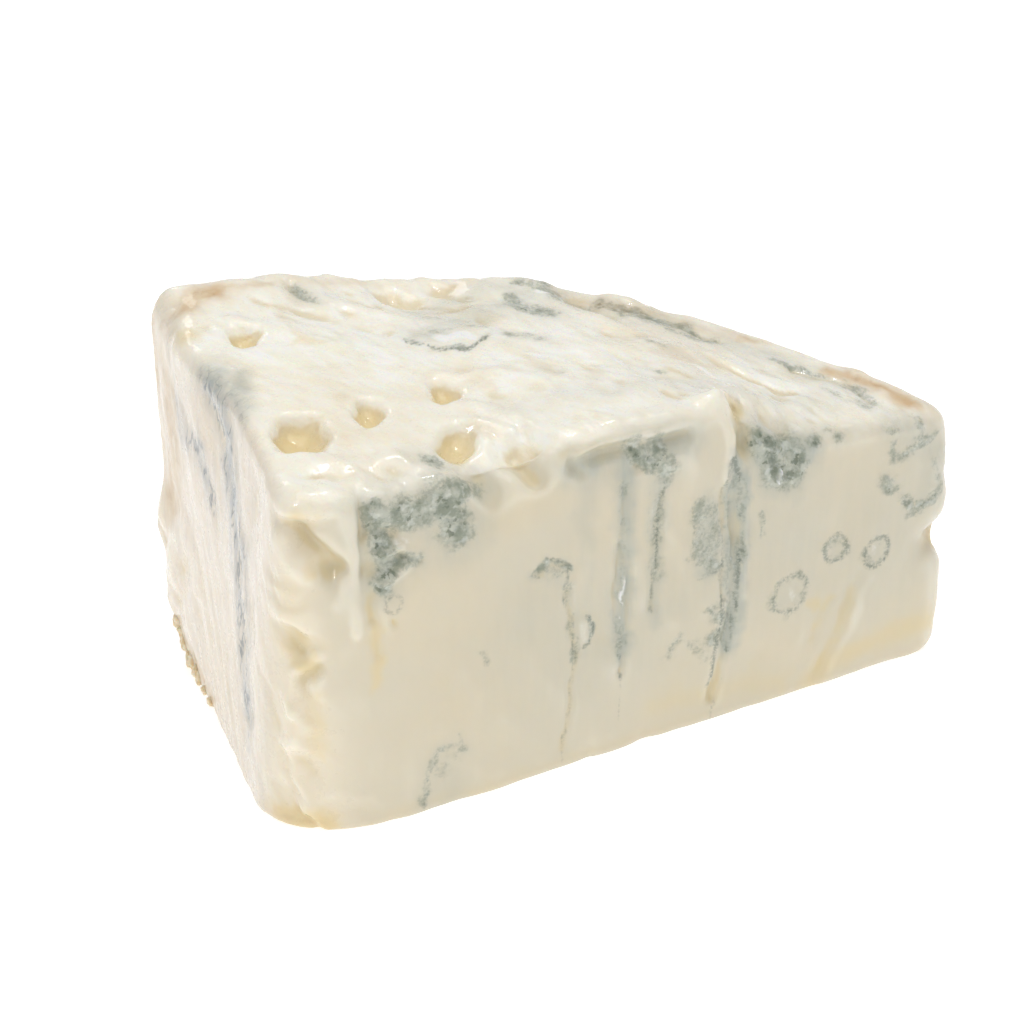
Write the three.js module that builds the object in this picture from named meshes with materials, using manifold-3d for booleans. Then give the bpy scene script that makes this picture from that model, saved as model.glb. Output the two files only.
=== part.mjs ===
// A wedge of soft blue-veined cheese, cut from half of a low round wheel.
//
// The long flat side is a cut face, and so is the short side that meets it at the blunt tip. The back is the
// wheel's curved rind, the underside is the wheel's flat one, and the top is a torn and smeared cut with holes
// in it. The whole wedge is one solid: a closed box grid is bent over the wedge's plan, rounded at its edges,
// and then moved along its own normals onto the relief of each side. Millimetres, +Z up, X along the long face.

import * as THREE from 'three';
import { mergeVertices } from 'three/addons/utils/BufferGeometryUtils.js';
import Module from 'manifold-3d';

const { clamp, degToRad, lerp, smoothstep } = THREE.MathUtils;

// Driving dimensions. While the shape is worked out, the sharp tip of the plan lies at 0, 0.
const WHEEL_RADIUS = 150;
const LONG_FACE = 165.4;
const SHORT_FACE = 88.5;
const TIP_ANGLE = degToRad(83.3);
const TIP_CUT = 9.9;
const TIP_CUT_TURN = degToRad(49);
const BACK_HEIGHT = 89.5;
const FRONT_HEIGHT = 77;
const END_HEIGHT = 63.5;
const END_CORNER_RADIUS = 6.5;
const SIDE_CORNER_RADIUS = 5;
const TIP_RADIUS = 6;
const FOOT_RADIUS = 4;
const FOOT_BELOW_FLOOR = 2.5;

// Lesser dimensions. The front edge of the top rises over a block and then falls; the back edge sinks.
const BLOCK_RISE = 1.5;
const BLOCK_DROP = 2;
const FRONT_FALL = 12;
const FRONT_SLOPE_AT_END = 0.1;
const BACK_SINK_NEAR_SIDE = 6.5;
const BACK_SINK_POWER = 1.5;
const RISE_TO_RIND_POWER = 0.8;
// How far the side, the tip and the end lean inwards between foot and top.
const SIDE_LEAN = 5.5;
const TIP_LEAN = 3.3;
const END_LEAN = 3.5;
// A notch runs round the far end at this height.
const NOTCH = { height: 30, spread: 4.6, depth: 2.2 };
// The top's edge is sharper along the two cut faces than along the rind.
const FRONT_EDGE_RADIUS = 3.5;
const BACK_EDGE_RADIUS = 9;
// The foot curves up under the tip and under the far end.
const TIP_LIFT = { x: 4, y: 6, height: 0.6, alongX: 8, alongY: 8 };
const END_LIFT = { x: 166, y: 3, height: 5.5, alongX: 6, alongY: 12 };
// The rind waves a little: height of the wave, and lengths along it and upwards.
const RIND_WAVES = [[0.4, 9, 21], [0.3, 5, -8]];
// Where a hole's widest part lies above the surface, as a share of its depth.
const HOLE_SINK = 0.05;

// The middle of the finished wedge's plan, which becomes the origin.
const MIDDLE = new THREE.Vector2(82.79, 44.46);

// How finely the surface is divided: along the long face, from it to the rind, and upwards. The power crowds
// the cells towards the tip and the long face.
const CELLS = { along: 50, deep: 18, high: 25 };
const CROWDING = 1.15;

// Where the rind's back corner of the grid lies, from the far end of the rind to its near one.
const BACK_CORNER_SHARE = 0.27;

// The wheel's centre, found from the two far corners of the plan, which both lie on the rind.
const endCorner = new THREE.Vector2(LONG_FACE, 0);
const sideCorner = new THREE.Vector2(Math.cos(TIP_ANGLE), Math.sin(TIP_ANGLE)).multiplyScalar(SHORT_FACE);
const chord = sideCorner.clone().sub(endCorner);
const fromChord = Math.sqrt(WHEEL_RADIUS ** 2 - chord.lengthSq() / 4);
const wheelCentre = endCorner.clone().add(sideCorner).multiplyScalar(0.5)
  .add(new THREE.Vector2(-chord.y, chord.x).setLength(fromChord));

// The relief is a list of strokes for each side. A stroke runs between two points of its side, has a radius,
// and stands out by a number of millimetres, or goes in where that is below zero.
const stroke = (from, to, radius, out) => ({ from, to, radius, out });

// Long face: distance from the tip, then height.
const FRONT_RELIEF = [
  stroke([107, 66], [107, 46], 3.4, -0.8),
  stroke([90, 66], [91, 30], 6, 0.7),
  stroke([76, 68], [76, 30], 5, -0.5),
  stroke([40, 20], [60, 12], 14, 0.6),
  stroke([20.8, 74], [21.3, 50], 2.2, -1.2),
  stroke([139, 26], [129, 3], 3, -0.4),
];

// Short face: distance from the tip, then height.
const SIDE_RELIEF = [
  stroke([20, 74], [22, 20], 5, -0.6),
  stroke([76, 34], [78, 18], 12, 2.2),
  stroke([60, 60], [78, 60], 12, 0.4),
  stroke([80, 36], [81, 30], 7, 0.9),
];

// Blunt tip: distance across it from its middle, then height. A nub hangs over a hollow, a lump swells under
// it, and slumped folds and a crease run down to the foot.
const TIP_RELIEF = [
  stroke([3, 77.5], [11, 78], 4.4, 2.8),
  stroke([7, 70.5], [10, 64], 3.6, -3.2),
  stroke([14.5, 73], [15, 58], 2.6, 1.2),
  stroke([-3, 67], [3, 64], 5, 2.6),
  stroke([0, 54], [4, 53], 4, 0.8),
  stroke([2, 46.5], [5.5, 41.5], 3.6, -2),
  stroke([3, 32], [2, 22], 5, 1),
  stroke([-5.5, 41], [-1, 12], 3, -1),
];

// Top: plan distances from the tip. The scoop and the bite break the front edge, on both sides of a block.
const TOP_RELIEF = [
  stroke([50, 0], [57, 2], 6.5, -6.5),
  stroke([26, 2], [38, 3], 6, -1.2),
  stroke([10, 3], [14, 2], 5, 0.8),
  stroke([99, 3], [102, 4], 3.6, 2.2),
  stroke([108.5, -1], [117, -1], 5.5, -5.5),
  stroke([62, 72], [70, 64], 6, -2.2),
  stroke([66, 73], [72, 70], 5, -2.2),
  stroke([34, 82], [46, 81], 8, 1.5),
  stroke([10, 72], [14, 78], 5, -1),
  stroke([86, 68], [92, 65], 6, 1.3),
  stroke([108, 57], [112, 54], 3.6, 1.1),
  stroke([146, 18], [149, 13], 5, 0.7),
  stroke([99, 59], [103, 52], 4, -1.4),
];

// The open holes of the top cut: plan centre, half length, half width, depth below the surface, and turn.
const hole = (x, y, length, width, depth, turn) => ({ x, y, length, width, depth, turn: degToRad(turn) });
const HOLES = [
  hole(21.7, 59.4, 3.4, 3.6, 3.6, -28),
  hole(18.6, 22.4, 5.4, 6.6, 4.8, -28),
  hole(34.0, 24.8, 3.5, 4.4, 3.6, -28),
  hole(51.5, 27.5, 3.2, 3.4, 3.2, -28),
  hole(46.0, 10.8, 4.7, 5.4, 4.4, -28),
];

// Distance from a point to a stroke, turned into a smooth hill or trough that fades out past its radius.
function reliefAt(strokes, along, across) {
  let sum = 0;
  for (const { from, to, radius, out } of strokes) {
    const dx = to[0] - from[0];
    const dy = to[1] - from[1];
    const share = clamp(((along - from[0]) * dx + (across - from[1]) * dy) / (dx * dx + dy * dy), 0, 1);
    const away = Math.hypot(along - from[0] - share * dx, across - from[1] - share * dy) / radius;
    sum += out * Math.exp(-away * away);
  }
  return sum;
}

// The larger of two distances, with a round edge of a given radius where they meet.
function roundMax(a, b, radius) {
  const inside = Math.min(Math.max(a, b), -radius);
  return inside + Math.hypot(Math.max(a + radius, 0), Math.max(b + radius, 0));
}

// How far a place lies from the long face, as a share of the way to the rind.
function shareToRind(x, y) {
  const rindDepth = wheelCentre.y + Math.sqrt(Math.max(WHEEL_RADIUS ** 2 - (x - wheelCentre.x) ** 2, 0));
  return clamp(y / Math.max(rindDepth, 12), 0, 1);
}

// Height of the top: the front edge falls away past the block, and the back edge sinks towards the end.
function topHeight(x, y) {
  const block = BLOCK_RISE * smoothstep(x, 58, 66) - BLOCK_DROP * smoothstep(x, 88, 97);
  const fall = FRONT_FALL * smoothstep(x, 98, 128) + FRONT_SLOPE_AT_END * Math.max(x - 124, 0);
  const front = FRONT_HEIGHT + block - fall;
  const sinkToEnd = BACK_HEIGHT - BACK_SINK_NEAR_SIDE - END_HEIGHT;
  const sink = BACK_SINK_NEAR_SIDE * smoothstep(x, 14, 62)
    + sinkToEnd * (Math.max(x - 60, 0) / 100) ** BACK_SINK_POWER;
  return lerp(front, BACK_HEIGHT - sink, shareToRind(x, y) ** RISE_TO_RIND_POWER);
}

// How far the short face leans in: its upper part does, on the side near the tip.
const sideLean = (y, z) => SIDE_LEAN * smoothstep(64 - y, 0, 32) * clamp(z / 80, 0, 1) ** 2;

// A smooth hill over the plan that fades out in every direction.
function lifted(x, y, { x: middleX, y: middleY, height, alongX, alongY }) {
  return height * Math.exp(-(((x - middleX) / alongX) ** 2) - ((y - middleY) / alongY) ** 2);
}

// Signed distance from the four walls, below zero inside. Relief is the wish for strokes as well.
function walls({ x, y, z }, relief) {
  const tipX = x * Math.sin(TIP_CUT_TURN) - y * Math.cos(TIP_CUT_TURN);
  const atNotch = (z - NOTCH.height) / NOTCH.spread;
  const notch = NOTCH.depth * Math.exp(-atNotch * atNotch) * smoothstep(x, 150, 158);
  const front = -y + notch - (relief ? reliefAt(FRONT_RELIEF, x, z) : 0);
  const side = y * Math.cos(TIP_ANGLE) - x * Math.sin(TIP_ANGLE) + sideLean(y, z)
    - (relief ? reliefAt(SIDE_RELIEF, y, z) : 0);
  const tipDepth = TIP_CUT - TIP_LEAN * smoothstep(z, 0, 60);
  const tip = tipDepth - x * Math.cos(TIP_CUT_TURN) - y * Math.sin(TIP_CUT_TURN)
    - (relief ? reliefAt(TIP_RELIEF, tipX, z) : 0);
  const endLean = END_LEAN * smoothstep(z, 46, 68) * smoothstep(x, 125, 155);
  let waves = 0;
  for (const [height, alongX, upwards] of RIND_WAVES) {
    waves += height * Math.sin(x / alongX + z / upwards);
  }
  const rind = Math.hypot(x - wheelCentre.x, y - wheelCentre.y) - WHEEL_RADIUS + notch + endLean
    + (relief ? waves : 0);
  const cuts = roundMax(roundMax(front, side, TIP_RADIUS), tip, TIP_RADIUS);
  return roundMax(roundMax(front, rind, END_CORNER_RADIUS), roundMax(cuts, rind, SIDE_CORNER_RADIUS), 0.5);
}

// Signed distance from the whole wedge.
function wedge(point, relief) {
  const { x, y, z } = point;
  const foot = -z - FOOT_BELOW_FLOOR + lifted(x, y, TIP_LIFT) + lifted(x, y, END_LIFT);
  const top = z - topHeight(x, y) - (relief ? reliefAt(TOP_RELIEF, x, y) : 0);
  const topRadius = lerp(FRONT_EDGE_RADIUS, BACK_EDGE_RADIUS, smoothstep(shareToRind(x, y), 0.6, 1));
  return roundMax(roundMax(walls(point, relief), top, topRadius), foot, FOOT_RADIUS);
}

// The slope of the distance at a point, from the distances on both sides of it.
const SLOPE_STEP = 0.05;
function gradient(point, relief) {
  const slope = (axis) => {
    const ahead = point.clone();
    const behind = point.clone();
    ahead[axis] += SLOPE_STEP;
    behind[axis] -= SLOPE_STEP;
    return (wedge(ahead, relief) - wedge(behind, relief)) / (2 * SLOPE_STEP);
  };
  return new THREE.Vector3(slope('x'), slope('y'), slope('z'));
}

// A place in the plan from two shares, along the long face and from it to the rind. The four sides of the
// patch are the two cut faces and two stretches of the rind, which meet at the rind's back corner.
const rindAngle = (corner) => Math.atan2(corner.y - wheelCentre.y, corner.x - wheelCentre.x);
const endAngle = rindAngle(endCorner);
const sideAngle = rindAngle(sideCorner);
const backAngle = lerp(endAngle, sideAngle, BACK_CORNER_SHARE);
const onRind = (angle) => new THREE.Vector2(Math.cos(angle), Math.sin(angle))
  .multiplyScalar(WHEEL_RADIUS).add(wheelCentre);

function planPlace(along, deep) {
  const front = endCorner.clone().multiplyScalar(along);
  const back = onRind(lerp(sideAngle, backAngle, along));
  const side = sideCorner.clone().multiplyScalar(deep);
  const end = onRind(lerp(endAngle, backAngle, deep));
  const corners = onRind(backAngle).multiplyScalar(along * deep)
    .addScaledVector(endCorner, along * (1 - deep))
    .addScaledVector(sideCorner, (1 - along) * deep);
  return front.multiplyScalar(1 - deep).addScaledVector(back, deep)
    .addScaledVector(side, 1 - along).addScaledVector(end, along).sub(corners);
}

// The body: every vertex of a box grid goes to its place on the rounded wedge, and from there along the
// surface's normal onto the relief. Cells are smaller near the tip and the long face, where most relief is.
function bodyGeometry() {
  const box = new THREE.BoxGeometry(1, 1, 1, CELLS.along, CELLS.deep, CELLS.high);
  box.deleteAttribute('normal');
  box.deleteAttribute('uv');
  const geometry = mergeVertices(box, 1e-5);
  const places = geometry.attributes.position;
  const point = new THREE.Vector3();
  for (let i = 0; i < places.count; i += 1) {
    const along = (places.getX(i) + 0.5) ** CROWDING;
    const deep = (places.getY(i) + 0.5) ** CROWDING;
    const plan = planPlace(along, deep);
    const top = topHeight(plan.x, plan.y);
    point.set(plan.x, plan.y, lerp(-FOOT_BELOW_FLOOR, top, places.getZ(i) + 0.5));
    for (let pass = 0; pass < 8; pass += 1) {
      const normal = gradient(point, false);
      point.addScaledVector(normal, -wedge(point, false) / Math.max(normal.lengthSq(), 0.3));
    }
    const outwards = gradient(point, false).normalize();
    for (let pass = 0; pass < 16; pass += 1) {
      point.addScaledVector(outwards, -0.7 * wedge(point, true));
    }
    places.setXYZ(i, point.x, point.y, point.z);
  }
  return geometry;
}

// A hole is an egg-shaped hollow whose widest part lies near the surface.
function holeGeometry({ x, y, length, width, depth, turn }) {
  const egg = new THREE.SphereGeometry(1, 18, 12);
  egg.scale(length, width, depth);
  egg.rotateZ(turn);
  egg.translate(x, y, topHeight(x, y) + HOLE_SINK * depth);
  return egg;
}

// The board under the wedge: what it takes away leaves the flat underside.
function boardGeometry() {
  const board = new THREE.BoxGeometry(400, 400, 20);
  board.translate(0, 0, -10);
  return board;
}

const wasm = await Module();
wasm.setup();

function toSolid(geometry) {
  const plain = geometry.clone();
  plain.deleteAttribute('normal');
  plain.deleteAttribute('uv');
  const merged = mergeVertices(plain, 1e-4);
  const vertProperties = new Float32Array(merged.attributes.position.array);
  const triVerts = new Uint32Array(merged.index.array);
  return new wasm.Manifold(new wasm.Mesh({ numProp: 3, vertProperties, triVerts }));
}

function toGeometry(solid) {
  const { vertProperties, triVerts } = solid.getMesh();
  const geometry = new THREE.BufferGeometry();
  geometry.setAttribute('position', new THREE.BufferAttribute(vertProperties, 3));
  geometry.setIndex(new THREE.BufferAttribute(triVerts, 1));
  geometry.computeVertexNormals();
  return geometry;
}

function cheeseMesh() {
  let solid = toSolid(bodyGeometry()).subtract(toSolid(boardGeometry()));
  for (const one of HOLES) {
    solid = solid.subtract(toSolid(holeGeometry(one)));
  }
  const geometry = toGeometry(solid);
  geometry.translate(-MIDDLE.x, -MIDDLE.y, 0);
  const paste = new THREE.MeshStandardMaterial({ color: 0xf0e6cf, roughness: 0.35, metalness: 0 });
  const mesh = new THREE.Mesh(geometry, paste);
  mesh.name = 'blue_cheese_wedge';
  return mesh;
}

const part = new THREE.Group();
part.add(cheeseMesh());

export default part;
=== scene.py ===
# %% [markdown]
# # A wedge of soft blue cheese
#
# The real thing is a chunk cut from half of a low round wheel. Two sides are clean cuts that meet at a
# blunt tip, the back is the wheel's curved rind, and the top is a torn cut, smeared and full of holes.
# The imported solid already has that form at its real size. This lesson makes the fine surface over it:
# folds, holes and smears as real mesh, and mould, rind and wet sheen as one procedural material.
# Vector noise starts somewhere else in every session, so its seed is fixed: each run gives the same cheese.

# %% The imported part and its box
import math

import bmesh
import bpy
import numpy as np
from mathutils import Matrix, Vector, noise


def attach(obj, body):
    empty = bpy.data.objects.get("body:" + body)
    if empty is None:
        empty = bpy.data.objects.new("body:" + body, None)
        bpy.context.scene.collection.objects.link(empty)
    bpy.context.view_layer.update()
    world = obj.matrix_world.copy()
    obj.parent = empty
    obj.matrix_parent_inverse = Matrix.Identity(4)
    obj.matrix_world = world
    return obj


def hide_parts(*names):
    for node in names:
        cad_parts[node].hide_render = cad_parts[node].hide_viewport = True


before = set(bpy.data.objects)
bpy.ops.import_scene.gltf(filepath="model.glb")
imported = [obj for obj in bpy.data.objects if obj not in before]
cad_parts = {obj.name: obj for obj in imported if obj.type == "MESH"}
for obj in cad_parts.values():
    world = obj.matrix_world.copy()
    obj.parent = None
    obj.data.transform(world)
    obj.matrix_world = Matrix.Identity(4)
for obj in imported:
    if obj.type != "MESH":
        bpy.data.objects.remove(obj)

NOISE_SEED = 5
noise.seed_set(NOISE_SEED)
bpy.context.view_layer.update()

# %% [markdown]
# ## Four small tools
#
# Everything below is worked out in millimetres, with the sharp tip of the wedge's plan at the corner of
# the page, X along the long cut face and Y towards the rind. A smooth step turns a hard limit into a soft
# one, and a round maximum joins two sides with a round edge, which is how soft cheese meets at a corner.
# The other two turn a finished bmesh into a smooth mesh, and put a mesh, light or camera into the scene.

# %% Soft limits, round edges, and filling the scene
MILLIMETRE = 0.001


def smooth_step(value, low, high):
    share = np.clip((value - low) / (high - low), 0, 1)
    return share * share * (3 - 2 * share)


def round_max(a, b, radius):
    inside = np.minimum(np.maximum(a, b), -radius)
    return inside + np.hypot(np.maximum(a + radius, 0), np.maximum(b + radius, 0))


def fill_mesh(mesh, shape):
    for face in shape.faces:
        face.smooth = True
    shape.to_mesh(mesh)
    shape.free()


def add_to_scene(name, data):
    piece = bpy.data.objects.new(name, data)
    bpy.context.collection.objects.link(piece)
    return piece


# %% [markdown]
# ## The wheel and the two cuts
#
# A piece of cheese is easiest to describe by how it was cut. The rind is a circle, and its centre follows
# from the two far corners, because both lie on it. These sizes are the solid's own driving sizes, so the
# fine surface lands where the solid is.

# %% Sizes of the wedge
WHEEL_RADIUS = 150.0
LONG_FACE = 165.4
SHORT_FACE = 88.5
TIP_ANGLE = math.radians(83.3)
TIP_CUT = 9.9
TIP_CUT_TURN = math.radians(49)
BACK_HEIGHT = 89.5
FRONT_HEIGHT = 77.0
END_HEIGHT = 63.5
END_CORNER_RADIUS = 6.5
SIDE_CORNER_RADIUS = 5.0
TIP_RADIUS = 6.0
FOOT_RADIUS = 4.0
FOOT_BELOW_FLOOR = 2.5
BLOCK_RISE = 1.5
BLOCK_DROP = 2.0
END_FALL = 12.0
BACK_SINK = 6.5
NOTCH_DEPTH = 2.2
NOTCH_HEIGHT = 30.0
END_LEAN = 3.5
SIDE_LEAN = 5.5
TIP_UNDERCUT = 3.3
TIP_LIFT = 0.6
END_LIFT = 5.5
TOP_EDGE_RADIUS = 3.5
BACK_EDGE_RADIUS = 9.0
MIDDLE = np.array([82.79, 44.46, 0.0])

end_corner = np.array([LONG_FACE, 0.0])
side_corner = SHORT_FACE * np.array([math.cos(TIP_ANGLE), math.sin(TIP_ANGLE)])
chord = side_corner - end_corner
across_chord = np.array([-chord[1], chord[0]]) / np.linalg.norm(chord)
from_chord = math.sqrt(WHEEL_RADIUS ** 2 - chord @ chord / 4)
wheel_centre = (end_corner + side_corner) / 2 + from_chord * across_chord
print("wheel's centre from the tip, mm:", wheel_centre.round(1))

# %% [markdown]
# ## Relief as strokes
#
# The knife, the needles that let air in, and the soft paste's own weight left grooves, folds and lumps.
# Each one is a stroke, as with a sculpting brush: a path on its side of the wedge, a radius, and how far
# it stands out in millimetres, or goes in below zero. A list of strokes keeps each mark readable and easy
# to move, where a sculpted mesh would hide them all in its vertices.

# %% Strokes on the long cut face: distance from the tip, then height
FRONT_RELIEF = [
    ([(107, 66), (107, 46)], 3.4, -0.8),
    ([(90, 66), (91, 30)], 6, 0.9),
    ([(76, 68), (76, 30)], 5, -0.6),
    ([(40, 20), (60, 12)], 14, 0.6),
    ([(20.8, 77), (21.2, 68), (21.9, 58)], 1.2, -2),
    ([(21.9, 58), (21.6, 50)], 1.2, -0.9),
    ([(22.4, 50), (22.8, 42)], 1.2, -0.35),
    ([(18.3, 75), (18.4, 60), (18.2, 48)], 1.6, 0.6),
    ([(103, 64), (104.5, 56), (105.6, 44), (105, 31), (104.4, 19), (101.5, 6)], 1.2, -1),
    ([(101.6, 58), (102.8, 45), (102.6, 32)], 0.9, -0.6),
    ([(107.8, 60), (107.8, 30)], 1.1, 0.5),
    ([(77.7, 64), (77.5, 51), (76.2, 42), (77, 30)], 0.9, -0.6),
    ([(77.6, 51), (79.2, 44), (79.3, 33), (78, 20)], 0.9, -0.6),
    ([(86.4, 61), (85.4, 49), (85.2, 34)], 1.1, -0.6),
    ([(58.7, 49.5), (61, 51.7), (63.2, 51.2), (65.3, 49.5)], 1.1, -0.5),
    ([(64.9, 44), (66, 37), (66.3, 30), (67.5, 27), (66, 20), (64.3, 5)], 0.9, -0.5),
    ([(68.6, 34.5), (68.8, 31)], 1.6, 0.6),
    ([(23.1, 72.1), (23.2, 70.6), (25.4, 68.4), (27.3, 68.3)], 1.1, -1.3),
    ([(24.2, 66.5), (24.4, 66)], 1.1, -1.2),
    ([(24, 61.2), (26.6, 61.3)], 1.4, -2.4),
    ([(28.6, 62), (32, 60)], 0.9, -0.9),
    ([(23.5, 57.4), (30, 60.2)], 1.2, 0.8),
    ([(24, 64), (28, 64.6)], 1.2, 0.8),
    ([(26.1, 48.6), (26.1, 48.2)], 1, -0.7),
    ([(106.6, 66), (107.4, 69), (108, 73)], 2, -2.2),
    ([(103, 75), (102.4, 62)], 2.4, 1.1),
    ([(66.5, 72.8), (92, 73)], 1.8, -1.2),
    ([(81, 68.7), (84, 70.2)], 1.4, -1.1),
    ([(65.5, 76.2), (94, 77)], 1.8, 0.8),
    ([(64.5, 77), (66, 72), (68, 70)], 1.2, -0.9),
    ([(139, 26), (134, 14), (129, 3)], 1.8, -0.5),
    ([(141.5, 25), (137, 13), (132, 2)], 2.4, 0.4),
    ([(132, 22), (128, 18), (127, 13)], 1.8, -0.3),
    ([(112.5, 64), (117, 58)], 2.2, -0.7),
    ([(115.3, 58), (115.3, 57)], 1.2, 0.9),
    ([(84, 1), (84.5, 0)], 2.2, -0.9),
    ([(70, 1), (70.5, 0)], 2, -0.7),
    ([(154, 62), (160, 46)], 3, -0.6),
]

# %% Strokes on the short cut face: distance from the long face, then height
SIDE_RELIEF = [
    ([(20, 74), (22, 20)], 5, -0.6),
    ([(76, 34), (78, 18)], 12, 2.2),
    ([(60, 60), (78, 60)], 12, 0.4),
    ([(80, 36), (81, 30)], 7, 0.9),
    ([(46, 80), (34, 66), (28, 54), (26, 31), (24, 18)], 2.2, -0.4),
    ([(42, 80), (30, 64), (24, 50)], 2.4, 0.3),
    ([(60, 72), (46, 61), (38, 40)], 2.4, -0.25),
    ([(70, 74), (62, 50), (52, 24)], 3, -0.3),
    ([(74, 70), (68, 50), (60, 30)], 3.4, 0.3),
]

# %% Strokes on the blunt tip: distance across it, then height
TIP_RELIEF = [
    ([(2, 77.6), (11, 78.4)], 3.4, 2.8),
    ([(1, 73.8), (6, 73), (12, 74.4)], 2.2, -1),
    ([(6.6, 71), (8.6, 67), (10, 62)], 3.2, -3.8),
    ([(14.8, 76), (15, 66), (14.4, 56)], 2.4, 1.6),
    ([(-4, 67.6), (0, 67.4), (3.4, 64)], 4.2, 3),
    ([(-5, 61.8), (4, 60.8)], 1.6, -0.6),
    ([(-1, 59), (4, 58.6)], 1.8, 0.6),
    ([(-3, 56.4), (5, 56)], 1.6, -0.5),
    ([(0, 54), (4, 53)], 3.6, 1),
    ([(-1, 50), (6, 49)], 2, -0.8),
    ([(8.6, 61), (10.4, 54), (10.4, 47)], 2.4, -0.8),
    ([(13, 56), (14.5, 44)], 3.4, 0.8),
    ([(5.5, 71.5), (6.9, 69), (8.1, 65), (8.7, 62.5)], 1.4, -1),
    ([(-4.1, 58), (-4.1, 55.6)], 1.4, -1),
    ([(-7.5, 74), (-7, 60), (-8, 45)], 1.8, -0.5),
    ([(2.4, 46.5), (5.5, 41.5)], 3.2, -2.2),
    ([(6.2, 44), (3.4, 41), (1.2, 35), (0.2, 31)], 1.5, 1.5),
    ([(7, 40), (7.6, 35)], 1.4, 0.9),
    ([(4.2, 38), (4.4, 31)], 1.6, -0.8),
    ([(2.6, 31), (1.6, 22)], 3.6, 1.7),
    ([(7.5, 33), (7, 22)], 2.8, 0.8),
    ([(5, 24), (4, 15)], 2.6, -0.7),
    ([(-7.2, 37.5), (-5.2, 33), (-2.9, 26.7), (-1.6, 21.4), (-1.3, 13), (1.1, 5.6), (4.6, 1)], 1.3, -0.7),
    ([(-0.2, 23), (0.4, 13), (3, 6)], 1.8, 0.7),
    ([(2, 24.5), (2, 23.5)], 1.2, 0.6),
    ([(-3, 9), (-1, 3)], 2.2, -0.6),
    ([(8, 6), (16, 3)], 1.8, -0.4),
    ([(6, 9), (16, 6.4)], 2.2, 0.5),
]

# %% Strokes on the top: plan places
TOP_RELIEF = [
    ([(50, 0), (57, 2)], 6.5, -6.5),
    ([(26, 2), (38, 3)], 6, -1.2),
    ([(10, 3), (14, 2)], 5, 0.8),
    ([(99, 3), (102, 4)], 3.6, 2.2),
    ([(108.5, -1), (117, -1)], 5.5, -5.5),
    ([(62, 72), (70, 64)], 6, -2.2),
    ([(66, 73), (72, 70)], 5, -2.2),
    ([(34, 82), (46, 81)], 8, 1.5),
    ([(10, 72), (14, 78)], 5, -1),
    ([(86, 68), (92, 65)], 6, 1.3),
    ([(108, 57), (112, 54)], 3.6, 1.1),
    ([(146, 18), (149, 13)], 5, 0.7),
    ([(99, 59), (103, 52)], 4, -1.4),
    ([(56.7, 9.3), (60.5, 3)], 1.6, 0.9),
    ([(52, 15), (57, 10)], 1.8, 0.7),
    ([(14, 48.5), (31, 44), (48, 40.7)], 1.1, -0.16),
    ([(105.5, 0), (107, 4), (109.5, 8)], 1.8, -1.5),
    ([(103, 6), (110, 10.5), (117, 11), (125, 9)], 2.2, 1.1),
    ([(39, 77), (42, 71)], 1.8, -1.2),
    ([(108, 53), (113, 46), (118, 44), (124, 38)], 1.8, -0.8),
    ([(134, 23), (141.5, 17), (144, 9)], 1.6, -0.6),
    ([(62, 47), (58, 46)], 3.5, 0.5),
    ([(16, 13), (24, 10), (33, 9)], 1.6, 0.5),
    ([(12, 9), (22, 8), (30, 12)], 1.4, -0.4),
    ([(56, 20), (60, 12), (64, 5)], 1.8, 0.7),
    ([(54, 34), (64, 30), (72, 22)], 1.8, 0.6),
    ([(58, 4), (64, 1.5)], 1.6, 1),
    ([(70, 14), (82, 10), (94, 12)], 2.6, 0.5),
    ([(20, 66), (30, 60), (38, 52)], 2.4, 0.6),
    ([(30, 73), (44, 62), (52, 54)], 2.2, -0.6),
    ([(36, 76), (48, 67), (58, 58)], 2.4, 0.7),
    ([(56, 66), (66, 58), (74, 48)], 2.6, -0.6),
    ([(104, 36), (118, 28), (134, 12)], 2.4, 0.7),
    ([(98, 40), (112, 32), (128, 14)], 2, -0.6),
    ([(114, 18), (128, 12)], 1.8, 0.6),
]

# %% [markdown]
# ## The holes
#
# Gas made the round holes of the top cut. Each is an egg-shaped hollow whose widest part lies just under
# the surface, so its rim overhangs a little. As a distance, an egg is a ball measured in its own
# stretched sizes, and cutting it out is the same round maximum with its sign turned.

# %% The egg-shaped holes: plan place, half length, half width, depth, turn
HOLES = [
    (21.7, 59.4, 3.4, 3.6, 3.6, -28),
    (18.6, 22.4, 5.4, 6.6, 4.8, -28),
    (34.0, 24.8, 3.5, 4.4, 3.6, -28),
    (51.5, 27.5, 3.2, 3.4, 3.2, -28),
    (46.0, 10.8, 4.7, 5.4, 4.4, -28),
]
HOLE_SINK = 0.05
HOLE_RIM = 1.7


def distance_outside_hole(x, y, z, hole):
    centre_x, centre_y, length, width, depth, turn = hole
    x, y = wander(x, y)
    cos_turn = math.cos(math.radians(turn))
    sin_turn = math.sin(math.radians(turn))
    along = (x - centre_x) * cos_turn + (y - centre_y) * sin_turn
    across = (y - centre_y) * cos_turn - (x - centre_x) * sin_turn
    centre_z = top_height(centre_x, centre_y) + HOLE_SINK * depth
    down = z - centre_z
    near = np.sqrt((along / length) ** 2 + (across / width) ** 2 + (down / depth) ** 2) + 1e-6
    slope = np.sqrt((along / length ** 2) ** 2 + (across / width ** 2) ** 2 + (down / depth ** 2) ** 2) + 1e-6
    return near * (near - 1) / slope


# %% [markdown]
# ## The shape as one distance
#
# The whole wedge is one function that says how far a point is outside the surface. Four walls, the top
# and the foot each give a distance, and round maxima join them. Modelling by a distance was chosen over
# pushing vertices by hand, because edges come out round, holes cut cleanly, and any mesh can be laid on it.

# %% Relief and the height of the top
FRONT_SWAY = 0.4
UNEVENNESS = 0.3


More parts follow.
